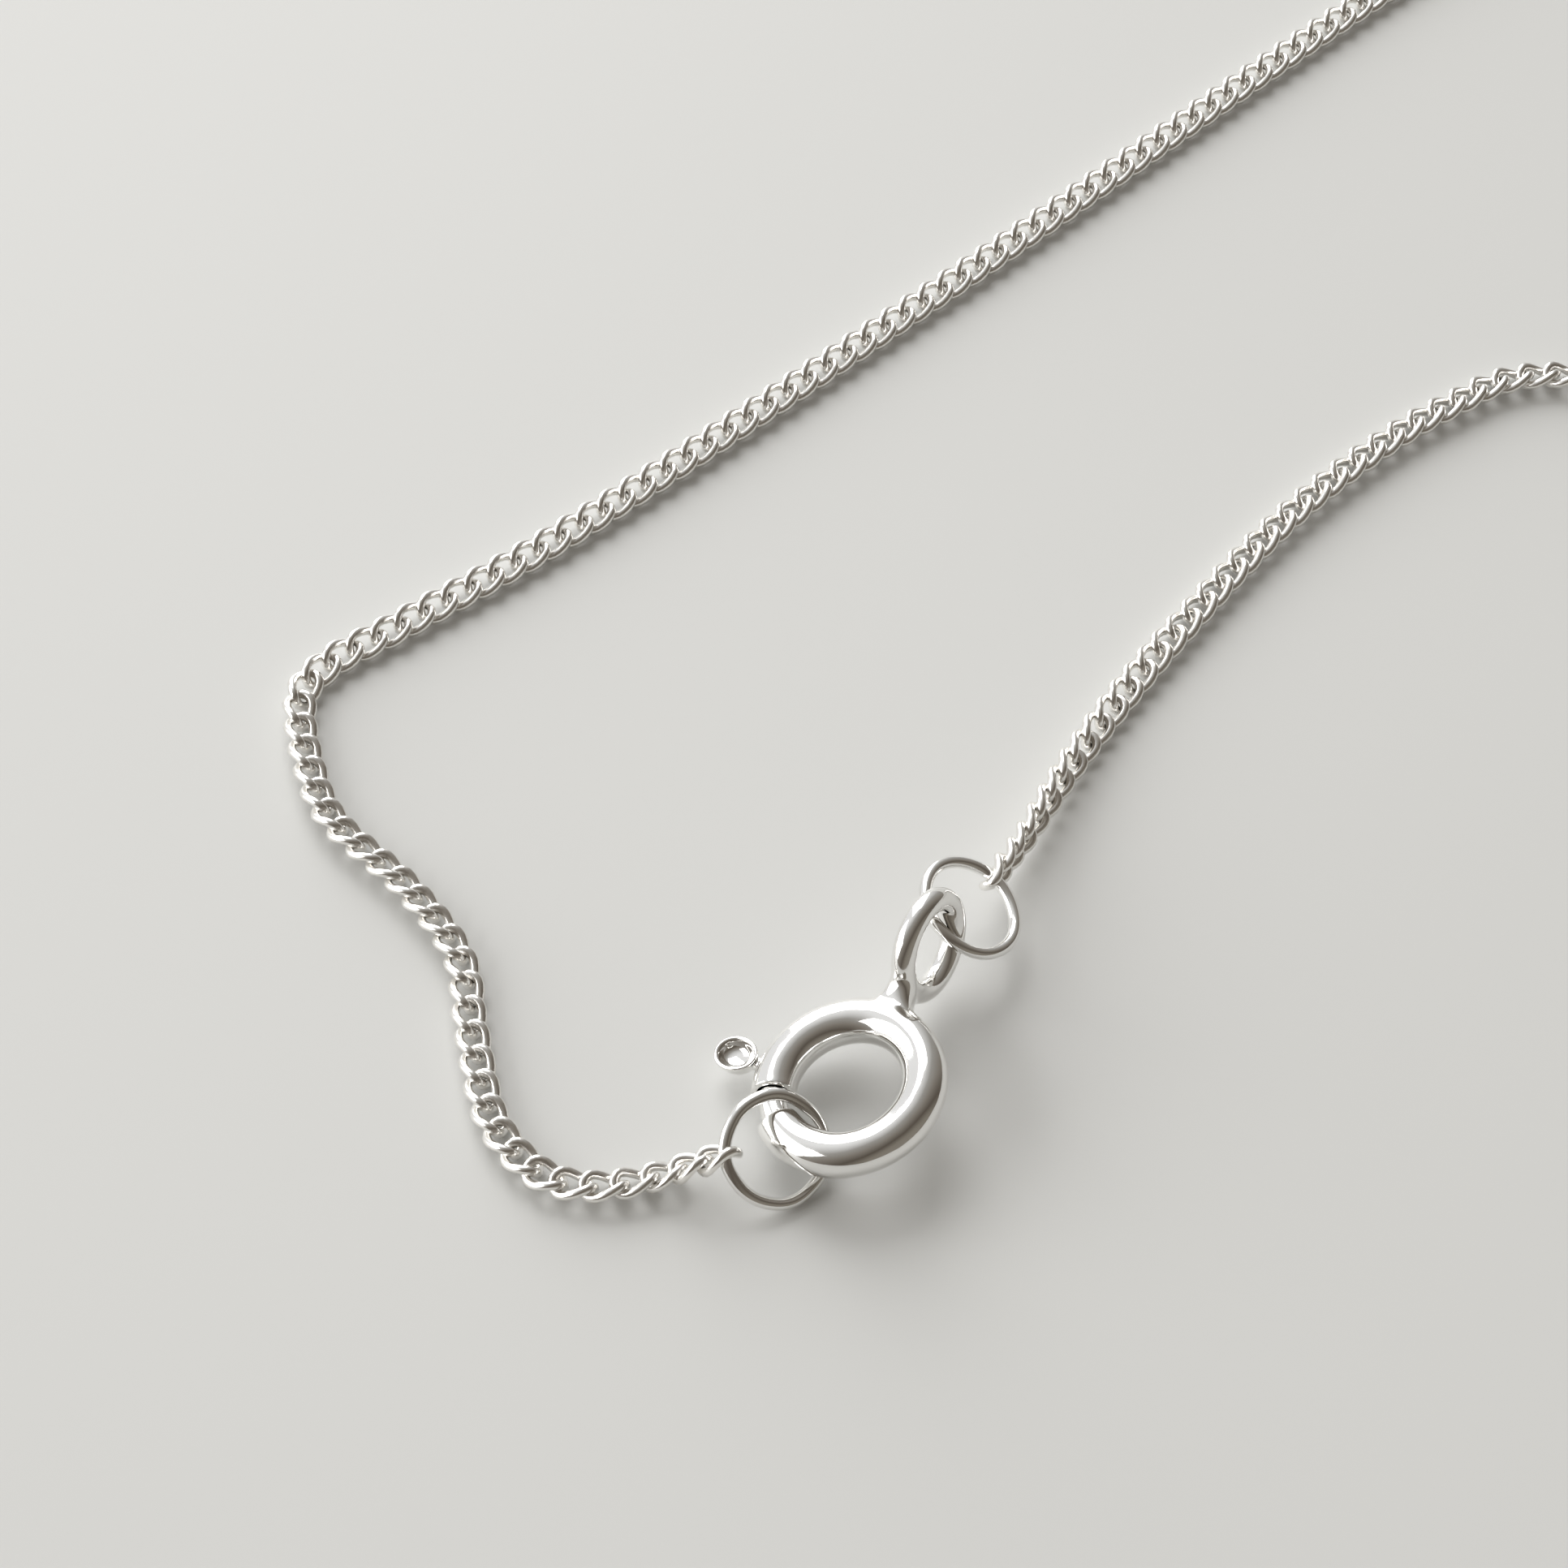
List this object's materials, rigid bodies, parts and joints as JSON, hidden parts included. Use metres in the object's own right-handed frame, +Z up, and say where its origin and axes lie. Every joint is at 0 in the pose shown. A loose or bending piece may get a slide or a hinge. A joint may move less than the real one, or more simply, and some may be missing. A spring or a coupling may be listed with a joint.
{
  "type": "curb chain necklace",
  "caption": "Fine curb chain necklace laid flat as a closed loop, with a spring ring clasp, its ear and a jump ring on each side.",
  "frame": {"origin": "centre of the lying necklace's overall box, on the surface that it lies on", "axes": "+Z up from the surface, +X along the loop's long direction from the clasp to the front of the chain, +Y across the loop"},
  "size_m": [0.1748, 0.0913, 0.004],
  "materials": {
    "clasp_silver": "polished",
    "ring_silver": "polished",
    "chain_silver": "polished"
  },
  "bodies": {
    "necklace": {"clasp_body": "clasp_silver", "ear_jump_ring": "ring_silver", "hook_jump_ring": "ring_silver", "ear_link_1": "chain_silver", "ear_link_2": "chain_silver", "hook_link_1": "chain_silver", "hook_link_2": "chain_silver", "chain_hook_side": "chain_silver", "chain_ear_side": "chain_silver"},
    "bolt": {"clasp_bolt": "clasp_silver"}
  },
  "joints": [
    {"name": "bolt_slide", "type": "hinge", "parent": "necklace", "child": "bolt", "pos_m": [-0.07095, -0.04255, 0.00155], "axis": [-0.2672, 0, 0.9636], "range_deg": [-34, 0], "stiffness_Nm_per_rad": 0.0005}
  ]
}
